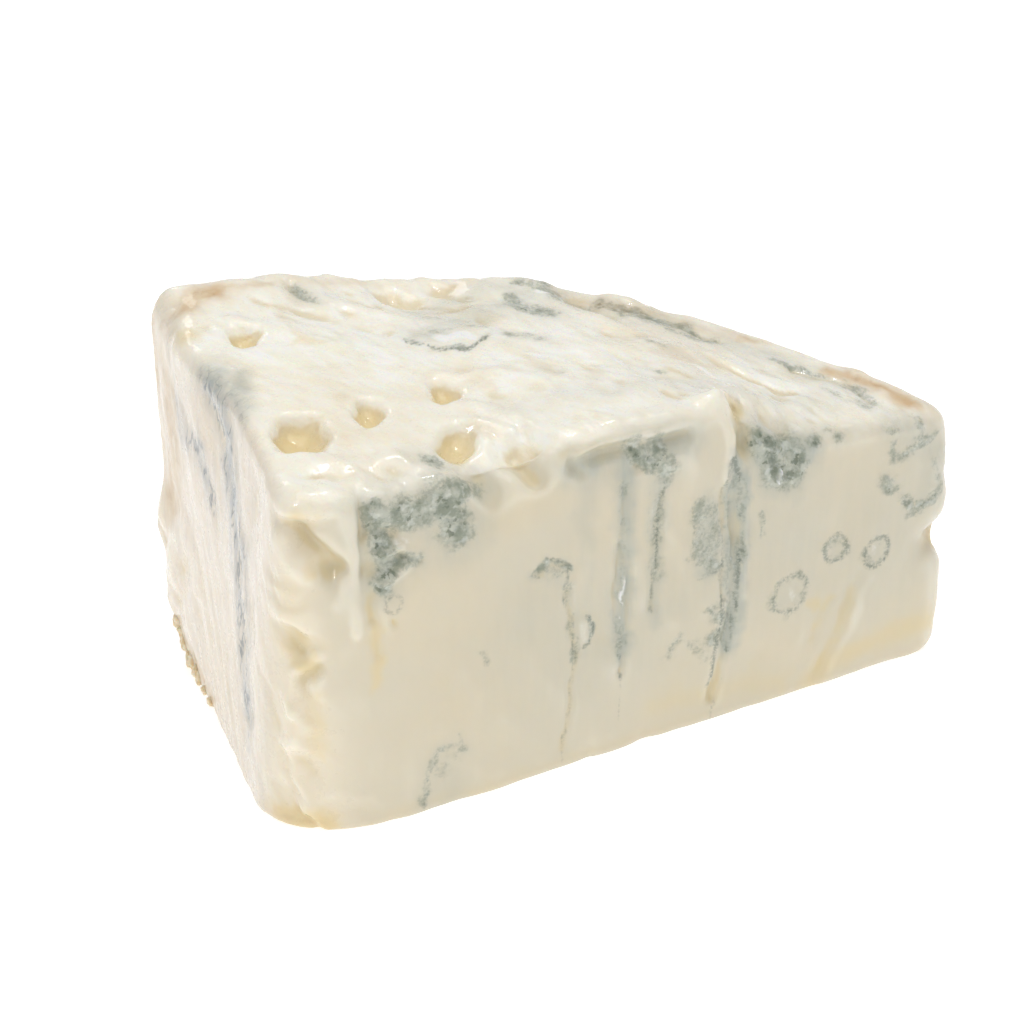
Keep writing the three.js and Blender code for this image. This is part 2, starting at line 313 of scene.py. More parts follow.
def wander(along, across):
    sway = 0.65 * np.sin(across / 2.7 + 0.8 * np.sin(along / 3.9))
    sway = sway + 0.35 * np.sin(along / 1.5 + across / 1.1 + 2)
    rise = 0.65 * np.sin(along / 3.1 + 0.7 * np.sin(across / 4.3))
    rise = rise + 0.35 * np.sin(across / 1.6 - along / 1.3)
    return along + sway, across + rise


def swayed(along, across, share):
    far_along, far_across = wander(along, across)
    return along + share * (far_along - along), across + share * (far_across - across)


def relief_at(strokes, along, across, sway_share=1.0):
    along, across = swayed(along, across, sway_share)
    uneven = 1 + UNEVENNESS * np.sin(along / 2.3 + across / 3.7)
    total = np.zeros_like(along)
    for path, radius, out in strokes:
        nearest = np.full_like(along, np.inf)
        for (start_a, start_b), (stop_a, stop_b) in zip(path, path[1:]):
            run_a = stop_a - start_a
            run_b = stop_b - start_b
            share = ((along - start_a) * run_a + (across - start_b) * run_b) / (run_a ** 2 + run_b ** 2)
            share = np.clip(share, 0, 1)
            away = np.hypot(along - start_a - share * run_a, across - start_b - share * run_b)
            nearest = np.minimum(nearest, away)
        total += out * np.exp(-(nearest / radius) ** 2)
    return total * uneven


def share_to_rind(x, y):
    rind_depth = wheel_centre[1] + np.sqrt(np.maximum(WHEEL_RADIUS ** 2 - (x - wheel_centre[0]) ** 2, 0))
    return np.clip(y / np.maximum(rind_depth, 12), 0, 1)


def top_height(x, y):
    block = BLOCK_RISE * smooth_step(x, 58, 66) - BLOCK_DROP * smooth_step(x, 88, 97)
    fall = END_FALL * smooth_step(x, 98, 128) + 0.1 * np.maximum(x - 124, 0)
    front = FRONT_HEIGHT + block - fall
    sink = BACK_SINK * smooth_step(x, 14, 62)
    sink = sink + (BACK_HEIGHT - BACK_SINK - END_HEIGHT) * (np.maximum(x - 60, 0) / 100) ** 1.5
    share = share_to_rind(x, y) ** 0.8
    return front * (1 - share) + (BACK_HEIGHT - sink) * share


# %% The plain sides, and the whole wedge
def side_lean(y, z):
    return SIDE_LEAN * smooth_step(64 - y, 0, 32) * np.clip(z / 80, 0, 1) ** 2


def across_tip(x, y):
    return x * math.sin(TIP_CUT_TURN) - y * math.cos(TIP_CUT_TURN)


def tip_depth(z):
    return TIP_CUT - TIP_UNDERCUT * smooth_step(z, 0, 60)


def side_distances(points):
    x, y, z = points.T
    return {
        "top": z - top_height(x, y),
        "side": y * math.cos(TIP_ANGLE) - x * math.sin(TIP_ANGLE) + side_lean(y, z),
        "front": -y,
        "tip": tip_depth(z) - x * math.cos(TIP_CUT_TURN) - y * math.sin(TIP_CUT_TURN),
        "rind": np.hypot(x - wheel_centre[0], y - wheel_centre[1]) - WHEEL_RADIUS,
    }


def wedge_distance(points, with_relief):
    x, y, z = points.T
    out = side_distances(points)
    notch = NOTCH_DEPTH * np.exp(-((z - NOTCH_HEIGHT) / 4.6) ** 2) * smooth_step(x, 150, 158)
    out["front"] += notch
    out["rind"] += notch + END_LEAN * smooth_step(z, 46, 68) * smooth_step(x, 125, 155)
    if with_relief:
        out["front"] -= relief_at(FRONT_RELIEF, x, z, FRONT_SWAY)
        out["side"] -= relief_at(SIDE_RELIEF, y, z)
        out["tip"] -= relief_at(TIP_RELIEF, across_tip(x, y), z)
        out["top"] -= relief_at(TOP_RELIEF, x, y)
        out["rind"] += 0.4 * np.sin(x / 9 + z / 21) + 0.3 * np.sin(x / 5 - z / 8)
    cuts = round_max(round_max(out["front"], out["side"], TIP_RADIUS), out["tip"], TIP_RADIUS)
    end_corner_wall = round_max(out["front"], out["rind"], END_CORNER_RADIUS)
    walls = np.maximum(end_corner_wall, round_max(cuts, out["rind"], SIDE_CORNER_RADIUS))
    near_rind = smooth_step(share_to_rind(x, y), 0.6, 1)
    top_radius = TOP_EDGE_RADIUS + (BACK_EDGE_RADIUS - TOP_EDGE_RADIUS) * near_rind
    lift = TIP_LIFT * np.exp(-((x - 4) / 8) ** 2 - ((y - 6) / 8) ** 2)
    lift += END_LIFT * np.exp(-((x - 166) / 6) ** 2 - ((y - 3) / 12) ** 2)
    body = round_max(round_max(walls, out["top"], top_radius), lift - z - FOOT_BELOW_FLOOR, FOOT_RADIUS)
    if with_relief:
        for hole in HOLES:
            body = round_max(body, -distance_outside_hole(x, y, z, hole), HOLE_RIM)
    return body


# %% [markdown]
# ## A box grid bent over the wedge
#
# A cube cut into a fine even grid has six sheets of square faces and no poles, which is the calmest mesh
# for a lump with six sides. The cube is cut one direction at a time, so that each direction gets its own
# number of rows, and a power makes the rows closer near the tip and the long face, where most marks are.

# %% The cut cube
ROWS = {"along": 214, "deep": 92, "high": 104}
CROWDING = 1.15


def cut_cube(rows):
    grid = bmesh.new()
    bmesh.ops.create_cube(grid, size=1.0)
    for axis, count in enumerate(rows):
        edges = [e for e in grid.edges if abs(e.verts[0].co[axis] - e.verts[1].co[axis]) > 1e-4]
        bmesh.ops.subdivide_edges(grid, edges=edges, cuts=count - 1, use_grid_fill=True)
    return grid


cheese = bpy.data.meshes.new("cheese_wedge")
fill_mesh(cheese, cut_cube(ROWS.values()))
print("grid:", len(cheese.vertices), "vertices,", len(cheese.polygons), "faces")

# %% [markdown]
# ## From the cube to the plan
#
# Two of the cube's directions become shares in the plan, u along the long face and v away from it. The
# plan's four sides are the two cuts and two stretches of the rind, and blending them side by side fills the
# inside without folding.

# %% The plan patch
BACK_CORNER_SHARE = 0.27


def rind_angle(corner):
    return math.atan2(corner[1] - wheel_centre[1], corner[0] - wheel_centre[0])


def on_rind(angle):
    return wheel_centre + WHEEL_RADIUS * np.stack([np.cos(angle), np.sin(angle)], axis=-1)


def plan_place(along, deep):
    end_angle = rind_angle(end_corner)
    side_angle = rind_angle(side_corner)
    back_angle = end_angle + BACK_CORNER_SHARE * (side_angle - end_angle)
    u = along[:, None]
    v = deep[:, None]
    front = end_corner * u
    back = on_rind(side_angle + along * (back_angle - side_angle))
    side = side_corner * v
    end = on_rind(end_angle + deep * (back_angle - end_angle))
    corners = on_rind(np.array(back_angle)) * u * v + end_corner * u * (1 - v) + side_corner * (1 - u) * v
    return front * (1 - v) + back * v + side * (1 - u) + end * u - corners


def mesh_data(collection, field, width, kind):
    values = np.empty(len(collection) * width, dtype=kind)
    collection.foreach_get(field, values)
    return values.reshape(-1, width)


cube = mesh_data(cheese.vertices, "co", 3, float) + 0.5
plan = plan_place(cube[:, 0] ** CROWDING, cube[:, 1] ** CROWDING)
roof = top_height(plan[:, 0], plan[:, 1])
places = np.column_stack([plan, -FOOT_BELOW_FLOOR + cube[:, 2] * (roof + FOOT_BELOW_FLOOR)])

# %% [markdown]
# ## Laying the grid on the surface
#
# First each vertex slides down the slope of the plain distance until it is on the rounded wedge. Then it
# moves along its own straight line onto the shape with all its marks. Where a hole or a groove has steep
# walls the squares come out long, so those few are relaxed and laid on again.

# %% Slide, cast and relax
SLOPE_STEP = 0.05
LEAST_STEEPNESS = 0.3
CAST_SHARE = 0.7
STEEP_MOVE = 0.8
RELAX_SHARE = 0.6
SETTLE_SHARE = 0.8


def slope_of(points, with_relief):
    columns = []
    for axis in range(3):
        shift = np.zeros(3)
        shift[axis] = SLOPE_STEP
        ahead = wedge_distance(points + shift, with_relief)
        behind = wedge_distance(points - shift, with_relief)
        columns.append((ahead - behind) / (2 * SLOPE_STEP))
    return np.column_stack(columns)


def step_to_surface(points, with_relief):
    slope = slope_of(points, with_relief)
    steepness = np.maximum((slope ** 2).sum(axis=1), LEAST_STEEPNESS)
    return slope * (wedge_distance(points, with_relief) / steepness)[:, None]


for turn in range(7):
    places = places - step_to_surface(places, False)
outwards = slope_of(places, False)
outwards = outwards / np.linalg.norm(outwards, axis=1)[:, None]
plain_places = places.copy()
for turn in range(16):
    places = places - CAST_SHARE * wedge_distance(places, True)[:, None] * outwards

edge_ends = mesh_data(cheese.edges, "vertices", 2, np.int64)
neighbours = np.bincount(edge_ends.ravel(), minlength=len(places))


def neighbour_mean(values):
    total = np.zeros_like(values)
    for axis in range(values.shape[1]):
        column = values[:, axis]
        total[:, axis] = np.bincount(edge_ends[:, 0], weights=column[edge_ends[:, 1]], minlength=len(values))
        total[:, axis] += np.bincount(edge_ends[:, 1], weights=column[edge_ends[:, 0]], minlength=len(values))
    return total / neighbours[:, None]


moved = np.linalg.norm(places - plain_places, axis=1)
steep = neighbour_mean(moved[:, None])[:, 0] > STEEP_MOVE
for turn in range(12):
    places[steep] += RELAX_SHARE * (neighbour_mean(places)[steep] - places[steep])
    for settle in range(2):
        places[steep] -= SETTLE_SHARE * step_to_surface(places[steep], True)
print("relaxed", int(steep.sum()), "vertices at steep places")

# %% [markdown]
# A grid laid over a sharp lip can still fold back on itself, and a folded face renders as a black crack. So
# each face is compared with the surface's own direction, and where they disagree the vertices are averaged.

# %% Smooth out folded faces
quads = mesh_data(cheese.loops, "vertex_index", 1, np.int64).reshape(-1, 4)
FOLD_LIMIT = 0.5


def unfold(points, directions, rounds):
    for turn in range(rounds):
        first, second, third, fourth = (points[quads[:, corner]] for corner in range(4))
        across = np.cross(third - first, fourth - second)
        facing = (across * directions[quads].mean(axis=1)).sum(axis=1)
        folded = facing < FOLD_LIMIT * np.linalg.norm(across, axis=1)
        touched = np.zeros((len(points), 1))
        touched[quads[folded].ravel()] = 1
        touched = neighbour_mean(neighbour_mean(touched))[:, 0] > 0
        points[touched] = neighbour_mean(points)[touched]
    return int(folded.sum())


normals = slope_of(places, True)
normals = normals / np.maximum(np.linalg.norm(normals, axis=1), 1e-6)[:, None]
print("folded faces left:", unfold(places, normals, 10))

# %% [markdown]
# ## Which side a point belongs to
#
# Each side of the wedge was made by something else, so each has its own texture: wires or a knife on the
# cuts, needles and smears on top, a dry skin on the rind. A soft share for each side lets one texture fade
# into the next round the corners.

# %% Shares of the sides
SIDE_BLEND = 1.6
distances = side_distances(plain_places)
pulls = {name: np.exp(np.clip(distance / SIDE_BLEND, -9, 1)) for name, distance in distances.items()}
whole_pull = sum(pulls.values())
shares = {name: pull / whole_pull for name, pull in pulls.items()}
print("vertices mostly on:", {name: int((share > 0.5).sum()) for name, share in shares.items()})

# %% [markdown]
# ## Painting with strokes
#
# Mould, rind and haze are painted the same way as the relief: a path, a radius and a strength. The paths
# are given on the sides, because that is how one looks at a cheese, and are then placed in space, so a
# stroke near a corner carries on round it. The paint is soft; the material breaks it up into speckles.

# %% From a side's own coordinates to a place in space
def on_front(x, z):
    return (x, 0.0, z)


def on_side(y, z):
    return ((y * math.cos(TIP_ANGLE) + side_lean(y, z)) / math.sin(TIP_ANGLE), y, z)


def on_tip(across, z):
    depth = tip_depth(z)
    cos_turn = math.cos(TIP_CUT_TURN)
    sin_turn = math.sin(TIP_CUT_TURN)
    return (depth * cos_turn + across * sin_turn, depth * sin_turn - across * cos_turn, z)


def on_top(x, y):
    return (x, y, top_height(x, y))


def placed(on_side_of_wedge, strokes):
    in_space = []
    for path, radius, strength in strokes:
        in_space.append(([np.array(on_side_of_wedge(*place)) for place in path], radius, strength))
    return in_space


def painted(strokes, points):
    total = np.zeros(len(points))
    for path, radius, strength in strokes:
        nearest = np.full(len(points), np.inf)
        for start, stop in zip(path, path[1:] or path):
            run = stop - start
            share = np.clip((points - start) @ run / max(run @ run, 1e-9), 0, 1)
            nearest = np.minimum(nearest, np.linalg.norm(points - start - share[:, None] * run, axis=1))
        total = np.maximum(total, strength * np.exp(-(nearest / radius) ** 2))
    return total


# %% Grey-green mould
RING_HEIGHT = 1.15


def ring(x, z, radius):
    turns = [math.radians(30 * step) for step in range(13)]
    return [(x + radius * math.cos(turn), z + RING_HEIGHT * radius * math.sin(turn)) for turn in turns]


MOULD = placed(on_front, [
    ([(23.2, 74), (24.3, 66), (25.2, 61), (24.2, 57.6)], 2.5, 1),
    ([(25, 72), (33.7, 71), (40, 72.5)], 3.2, 1),
    ([(30, 69), (36, 68)], 2, 0.7),
    ([(37, 73), (39.5, 66.5), (41, 64.5)], 3.4, 1),
    ([(40, 74.5), (46, 73)], 2.6, 0.9),
    ([(26, 62), (31.5, 60.5)], 1.8, 0.75),
    ([(58.2, 49.2), (60.9, 51.9), (63.2, 51.4), (65.3, 49.5)], 1, 0.85),
    ([(59.6, 49.8), (63.4, 49.2)], 1.4, 0.4),
    ([(64.6, 46), (66, 37.3), (67, 27.1)], 1.2, 0.4),
    ([(70, 35.6), (71.1, 32.5), (70.1, 29.7)], 0.9, 0.85),
    ([(77.6, 64.2), (77.6, 24)], 1.6, 0.4),
    ([(86.4, 66), (85.6, 42)], 1.8, 0.42),
    ([(80, 73), (83, 69.5), (86, 68)], 2.6, 0.85),
    ([(85, 74), (87, 66)], 2.4, 0.8),
    ([(74, 71.5), (82, 71)], 1.2, 0.6),
    ([(91.8, 23.6), (91, 21)], 2.4, 0.45),
    ([(104, 60), (104.2, 20)], 1.8, 0.4),
    ([(106.4, 58), (106.8, 38)], 1.4, 0.5),
    ([(96, 55), (95.4, 44), (101, 40.4)], 2.4, 0.6),
    ([(99, 54), (99.5, 44)], 3.6, 0.45),
    ([(100, 29), (104, 25), (101, 21)], 2.2, 0.6),
    ([(96, 22), (99, 17)], 2, 0.35),
    ([(111.2, 49), (111.6, 45)], 1.4, 0.5),
    ([(110, 67), (114, 64), (119, 65)], 2.8, 1.4),
    ([(113.4, 62), (114.4, 57.5), (118.6, 56.6)], 2.4, 1.4),
    ([(118.6, 62), (120.5, 58)], 2.2, 1.2),
    ([(122.4, 65), (124.6, 62.6)], 1.8, 0.85),
    ([(129.4, 65), (130.6, 62.6)], 1.5, 0.85),
    ([(120, 66), (134, 65)], 1.4, 0.6),
    (ring(132.1, 34.9, 2.4), 1.6, 0.5),
    (ring(142.6, 31.5, 2.8), 1.3, 0.42),
    (ring(120.2, 27.4, 4), 1.5, 0.42),
    ([(143.2, 63), (145.4, 61)], 1.6, 0.75),
    ([(144.8, 57), (145.6, 54)], 1.5, 0.6),
    ([(144, 49), (145, 47)], 1.7, 0.7),
    ([(149, 64), (151.6, 62), (150.8, 58)], 1.3, 0.65),
    ([(147.9, 54.1), (154.2, 56.6), (157, 57)], 1.5, 0.75),
    ([(148.6, 42.8), (151.3, 40.4)], 1.7, 0.75),
    ([(151.3, 38.5), (155.7, 40.1), (158.4, 43.7)], 1.5, 0.7),
    ([(157, 50), (158, 47)], 1.6, 0.5),
    ([(45.4, 35), (45.9, 32)], 1.5, 0.38),
    ([(32.4, 2), (33, 9), (35, 14.6), (39.4, 16), (41, 13)], 1.3, 0.5),
    ([(35, 9), (38, 12)], 3, 0.3),
]) + placed(on_top, [
    ([(54.7, 49.7), (57, 44), (65, 42.3), (70, 45)], 1.1, 0.6),
    ([(56, 51), (66, 50.5), (71, 48)], 1.1, 0.4),
    ([(74, 44), (80, 40)], 1.8, 0.45),
    ([(88, 66), (92.4, 63), (94, 59)], 2, 0.7),
    ([(83, 60), (84, 54.9), (88, 51.5)], 2.4, 0.75),
    ([(96, 60), (101, 56)], 2.4, 0.6),
    ([(69, 68), (72, 65), (76, 66)], 1.6, 0.5),
    ([(62, 60), (70, 57)], 2, 0.4),
    ([(104, 56), (110, 50.5), (113.1, 46), (118.2, 44.3), (123.4, 38.6)], 1.5, 1),
    ([(106, 51), (114, 42), (122, 36)], 1.4, 0.6),
    ([(131, 27), (139.4, 20.4), (141.5, 17.1), (143.7, 12.2), (144.2, 7.7)], 1.3, 0.65),
    ([(136, 14), (142, 8)], 2, 0.35),
    ([(103.5, 34.1), (106, 32)], 1.4, 0.45),
    ([(95.6, 19.9), (98, 18)], 1.3, 0.4),
    ([(74.2, 25.2), (76, 24)], 1, 0.6),
    ([(38.6, 7.5), (43, 4)], 1.8, 0.75),
    ([(40.3, 75.7), (42, 72)], 1.8, 0.7),
])

# %% Thin lines where needles went in, and the rims of round spots
LINES = placed(on_front, [
    ([(21.6, 76), (22, 68), (22.6, 59)], 0.9, 1.2),
    ([(64.4, 47), (64.9, 41), (66, 37.3), (66.3, 29.7), (67.5, 27.1)], 0.7, 0.8),
    ([(67.4, 27.1), (65.7, 17.4), (64.3, 2)], 0.7, 0.6),
    ([(70, 36), (71.3, 33), (70.6, 29.4), (69, 29)], 0.7, 0.9),
    ([(58.2, 48.6), (58.8, 50.4), (60.9, 52.2), (63.2, 51.8), (65.3, 49.5), (64.4, 47)], 0.7, 0.85),
    ([(71.6, 70), (71.4, 56), (71.8, 44)], 0.6, 0.35),
    ([(77.7, 66), (77.3, 54.8), (76.1, 47.8), (76.4, 38.1), (77.1, 29), (78, 19)], 0.7, 0.9),
    ([(77.6, 54), (79.1, 47), (79.5, 39.7), (79.3, 32.9), (78.2, 24)], 0.7, 0.9),
    ([(78, 19), (77.6, 8)], 0.6, 0.5),
    ([(87, 68), (86.2, 58), (85.6, 46), (85, 33)], 0.7, 0.85),
    ([(83.6, 68), (83.8, 40)], 0.7, 0.4),
    ([(88.6, 68), (88.2, 44)], 0.7, 0.35),
    ([(103, 65), (101.6, 57), (102.6, 45), (102.4, 32), (102, 20), (100.6, 9)], 0.8, 0.9),
    ([(103.4, 65), (105.4, 60), (106.3, 50), (106.5, 40), (105.8, 28), (105, 17)], 0.9, 1.1),
    ([(104, 58), (104.6, 44), (104, 30)], 0.7, 0.6),
    ([(103.4, 10), (102, 4), (101.5, 0.5)], 0.7, 0.6),
    ([(95.2, 58), (94.6, 50), (93.4, 42), (96, 37.6), (101, 38.6)], 0.7, 0.7),
    ([(23.6, 72), (24.2, 67.5), (27.4, 68.4)], 1, 0.75),
    ([(23.6, 61.4), (26.8, 61.4)], 1.2, 1),
    ([(28.6, 61.8), (32.2, 60)], 0.8, 0.7),
    ([(36, 75), (44, 73.6)], 0.9, 0.6),
    ([(38, 68), (41, 65.4), (41.8, 69)], 0.9, 0.6),
    ([(35.6, 70), (38, 69)], 1, 0.5),
    ([(109.6, 66.4), (113.6, 65.6), (113.2, 61.4)], 1.6, 0.9),
    ([(118.4, 64.6), (119.4, 59)], 1.4, 0.65),
    ([(122.6, 64.4), (124.6, 62.4)], 1.1, 0.8),
    ([(130, 64.6), (130.6, 62.8)], 1, 0.9),
    ([(81, 70.6), (84, 69.6), (85.4, 72)], 1.1, 0.85),
    ([(86.4, 73), (87.2, 69)], 1, 0.6),
    ([(143.4, 62.4), (144.4, 60.6)], 1, 0.6),
    ([(148.6, 55.6), (154, 57.4)], 1, 0.55),
    ([(148.8, 42.4), (150.4, 41)], 1, 0.7),
    ([(152.4, 38.6), (156, 41)], 1, 0.6),
    (ring(132.1, 34.9, 3), 0.9, 0.65),
    (ring(142.6, 31.5, 3.2), 0.9, 0.75),
    (ring(120.2, 27.4, 4.3), 0.9, 0.6),
    (ring(26.4, 52.6, 1.8), 0.8, 0.6),
    ([(113.6, 57.4), (113.4, 60.5), (111, 64)], 0.8, 0.8),
    ([(119.6, 56.6), (120.6, 60), (119.4, 64)], 0.8, 0.6),
    ([(32.2, 1), (32.8, 8), (34.4, 14)], 0.7, 0.6),
]) + placed(on_top, [
    ([(54, 49), (57.5, 43.6), (64, 41.8), (70, 44.6)], 0.8, 0.9),
    ([(108.5, 52.8), (112, 48.4), (113.1, 44.9), (118.2, 43.3), (124.4, 37)], 0.8, 0.9),
    ([(134.7, 24), (140, 19), (142.5, 13), (144.2, 7)], 0.8, 0.55),
    ([(98, 41), (108, 34), (118, 24)], 0.7, 0.4),
    ([(84, 30), (92, 24), (100, 16)], 0.6, 0.3),
])

# %% Blue-grey haze, thinner than mould
HAZE = placed(on_side, [
    ([(50, 86), (44, 82), (40, 77.7), (35, 67.7), (28, 54)], 4.4, 1.3),
    ([(28, 54), (26, 36), (24, 20)], 3.4, 1.2),
    ([(25, 58), (22, 34), (22, 12)], 3, 0.6),
    ([(66, 74), (62, 66), (51, 66), (46, 57)], 3.4, 1),
    ([(70, 84), (64, 70)], 1.6, 0.45),
    ([(36, 62), (32, 50)], 3.4, 0.7),
]) + placed(on_front, [
    ([(69, 71), (70, 40)], 3, 0.5),
    ([(78.3, 71), (78, 24)], 2.8, 1.3),
    ([(86, 71), (86, 30)], 3, 0.8),
    ([(66, 72), (92, 72)], 4, 1),
    ([(70, 69), (90, 69)], 4, 0.5),
    ([(104.6, 66), (105, 18)], 2.8, 1.25),
    ([(106.8, 60), (107, 22)], 2.2, 1.4),
    ([(98, 54), (99, 40)], 4.4, 0.9),
    ([(105, 32), (102, 18)], 4.2, 0.45),
    ([(112, 64), (122, 62)], 5, 1.3),
    ([(120, 64), (138, 64)], 3.4, 0.5),
    ([(116, 58), (120, 52)], 4, 0.5),
    ([(146, 62), (158, 52), (156, 40)], 6, 0.6),
    ([(60, 50), (66, 44), (67, 30)], 3.4, 0.5),
    ([(69, 36), (69, 28)], 3.4, 0.5),
    ([(26, 70), (42, 69)], 6, 0.6),
    ([(36, 10), (38, 2)], 5, 0.35),
    ([(60, 34), (104, 36), (150, 36)], 24, 0.4),
    ([(132.1, 35.5), (132.1, 34)], 3.2, 0.6),
    ([(142.6, 32.4), (142.6, 30.6)], 3.6, 0.6),
    ([(120.2, 28.4), (120.2, 26.4)], 5, 0.6),
]) + placed(on_top, [
    ([(14, 44), (12.5, 39.5), (9.8, 33)], 3, 0.9),
    ([(58, 50), (92, 62)], 6, 0.55),
    ([(62, 64), (80, 66), (96, 62)], 5, 0.5),
    ([(88, 60), (110, 50), (124, 38), (140, 18)], 5.5, 0.5),
    ([(95, 14), (110, 12), (135, 10)], 6, 0.35),
    ([(62, 14), (90, 14)], 7, 0.3),
    ([(34, 8), (46, 3)], 3, 0.5),
])

# %% [markdown]
# The yellow paint is partly the paste's own yellow, where it is thin and wet, and partly painted shade: it
# lies inside holes, under folds and at the foot, and a deep tan marks the darkest of these. Close to the rind
# it turns buff and brown.

# %% Yellow paste and painted shade
YELLOW_AND_SHADE = placed(on_tip, [
    ([(5.5, 71.4), (6.9, 69), (8.1, 65), (8.7, 62.6)], 2.4, 1.12),
    ([(4.9, 74.6), (11.6, 74.6)], 2.4, 0.75),
    ([(9.4, 70), (10.4, 62)], 3, 0.5),
    ([(-4.1, 57.6), (-4.1, 56)], 1.5, 1),
    ([(3.2, 46.5), (5.5, 41)], 2.8, 1.08),
    ([(0, 48), (8, 46)], 3.4, 0.4),
    ([(2, 60), (4, 48)], 5, 0.3),
    ([(6, 34), (6, 20)], 2.6, 0.5),
    ([(-3, 2), (6, 2)], 3.6, 1.12),
]) + placed(on_front, [
    ([(21, 74), (21.9, 58), (21.4, 47)], 1.1, 0.75),
    ([(22, 49), (23, 41), (22, 34)], 1.5, 0.7),
    ([(26.1, 48.6), (26.1, 48)], 1, 0.8),
    ([(24.6, 61.2), (26.2, 61.3)], 1, 0.7),
    ([(125.6, 23.4), (128, 21.4)], 1.6, 0.75),
    ([(131, 22), (128, 16)], 1.4, 0.6),
    ([(128, 2), (134, 6), (160, 9)], 4, 0.6),
    ([(138, 22), (134, 12), (129, 3)], 1.8, 0.5),
    ([(25, 2), (60, 2), (100, 2)], 2.2, 0.28),
    ([(88, 8), (104, 7), (120, 4)], 4, 0.4),
    ([(107, 75), (107, 66)], 2.8, 1.4),
    ([(108, 69), (114, 67.5), (128, 66.5)], 1.6, 0.55),
    ([(64, 75), (74, 74)], 2.4, 0.5),
    ([(50, 66), (60, 66)], 7, 0.3),
    ([(30, 50), (110, 50)], 22, 0.12),
]) + placed(on_top, [
    ([(106.5, 1), (108, 5)], 2.8, 1.5),
    ([(8, 67), (10.5, 63)], 3.4, 0.65),
    ([(100, 19.4), (103, 17)], 1.6, 0.75),
    ([(104.5, 8), (107, 4.5)], 1.6, 0.8),
    ([(92.6, 8.7), (94, 8)], 1.3, 0.5),
    ([(68.6, 20.5), (70, 20)], 1.5, 0.5),
    ([(133.9, 35.3), (134.5, 34)], 1.8, 0.5),
    ([(32, 54), (36, 52)], 1.8, 0.6),
    ([(18, 33), (34, 33)], 8, 0.15),
])

# %% Buff and brown rind, and white bloom
RIND = placed(on_top, [
    ([(14, 74.5), (17, 77), (22, 78.5)], 3.6, 1.2),
    ([(21, 79), (34, 78)], 1.6, 0.9),
    ([(36, 80), (62, 77), (80, 71)], 2, 0.35),
    ([(12, 72), (12, 80)], 2.4, 0.5),
    ([(142, 21.5), (147, 14), (153, 5)], 2.4, 1),
    ([(150, 19), (160, 5)], 3.2, 0.8),
    ([(130, 37), (132, 35)], 1.4, 0.8),
    ([(96, 62), (130, 38)], 2.2, 0.35),
]) + placed(on_side, [
    ([(84, 78), (84, 40), (84, 12)], 5, 0.8),
    ([(74, 78), (69, 66), (74, 44)], 7, 0.7),
    ([(74, 7), (60, 4), (52, 2)], 2.2, 0.6),
]) + placed(on_tip, [
    ([(-6, 3), (-3, 1)], 3, 0.5),
]) + placed(on_front, [
    ([(159, 28.5), (163, 28.5)], 2.6, 0.9),
])
BLOOM = placed(on_top, [
    ([(60, 48), (62, 47.2), (66, 46.6)], 1.9, 1),
    ([(90.5, 61), (92, 59.5)], 1.2, 0.8),
]) + placed(on_front, [
    ([(23.4, 57.6), (26, 58.6)], 0.9, 0.55),
    ([(68.6, 34.5), (68.4, 31.5)], 1.3, 0.85),
    ([(115.3, 58.2), (115.3, 57)], 1.2, 0.85),
    ([(77.8, 46), (78, 33)], 0.8, 0.7),
    ([(104.4, 56), (104.8, 36)], 0.7, 0.55),
    ([(27.5, 66.2), (30, 64.8)], 1.2, 0.5),
    ([(142.6, 32.4), (142.6, 30.6)], 1.4, 0.45),
    ([(120.2, 28.4), (120.2, 26.4)], 2.2, 0.35),
])

# %% The paint on the vertices
def wandering(points, size, reach):
    return points + reach * np.array([noise.noise_vector(Vector(place / size)) for place in points])


def following_relief(points):
    moved = points.copy()
    for name, axes, sway_share in (("top", (0, 1), 1), ("front", (0, 2), FRONT_SWAY), ("side", (1, 2), 1)):
        there = swayed(points[:, axes[0]], points[:, axes[1]], sway_share)
        for axis, goal in zip(axes, there):
            moved[:, axis] += shares[name] * (goal - points[:, axis])
    return moved


def wider(strokes):
    return [(path, MARGIN_WIDTH * radius, strength) for path, radius, strength in strokes]


MARGIN_WIDTH = 2.3
MARGIN_SHARE = 0.7
HAZE_OFF_DEEP_SHADE = 0.8
LIT_WAY = (0.88, -0.47)
LIT_PALER = 0.7
PLAIN_RIND = 0.55
on_relief = following_relief(places)
loose = wandering(wandering(on_relief, 5.0, 1.0), 1.8, 0.8)
paint = {
    "mould": painted(MOULD, loose),
    "haze": np.maximum(painted(HAZE, loose), MARGIN_SHARE * painted(wider(MOULD), loose)),
    "yellow_and_shade": painted(YELLOW_AND_SHADE, loose),
    "rind": painted(RIND, loose),
    "bloom": painted(BLOOM, loose),
    "line": painted(LINES, wandering(on_relief, 2.0, 0.4)),
}
# haze is taken off the deep tan, which is painted shade in folds
paint["haze"] *= 1 - HAZE_OFF_DEEP_SHADE * smooth_step(paint["yellow_and_shade"], 0.95, 1.3)
in_hole = np.zeros(len(places))
for hole in HOLES:
    beside = distance_outside_hole(*places.T, hole)
    below_rim = smooth_step(on_top(hole[0], hole[1])[2] - places[:, 2], 0.3, 0.8 * hole[4])
    near_hole = below_rim * (1 - smooth_step(beside, 0.2, 1.4))
    in_hole = np.maximum(in_hole, near_hole)
    # Inside each hole the yellow is partly paste colour and partly painted shade, painted paler on the wall
    # that faces the light.
    to_light = (places[:, :2] - hole[:2]) @ LIT_WAY / hole[2]
    hole_yellow_and_shade = near_hole * (1 - LIT_PALER * smooth_step(to_light, -0.3, 1))
    paint["yellow_and_shade"] = np.maximum(paint["yellow_and_shade"], hole_yellow_and_shade)
rind_share = np.maximum(smooth_step(places[:, 1], 4, 30), PLAIN_RIND)
paint["rind"] = np.maximum(paint["rind"], shares["rind"] * rind_share)
print("painted vertices:", {name: int((value > 0.3).sum()) for name, value in paint.items()})

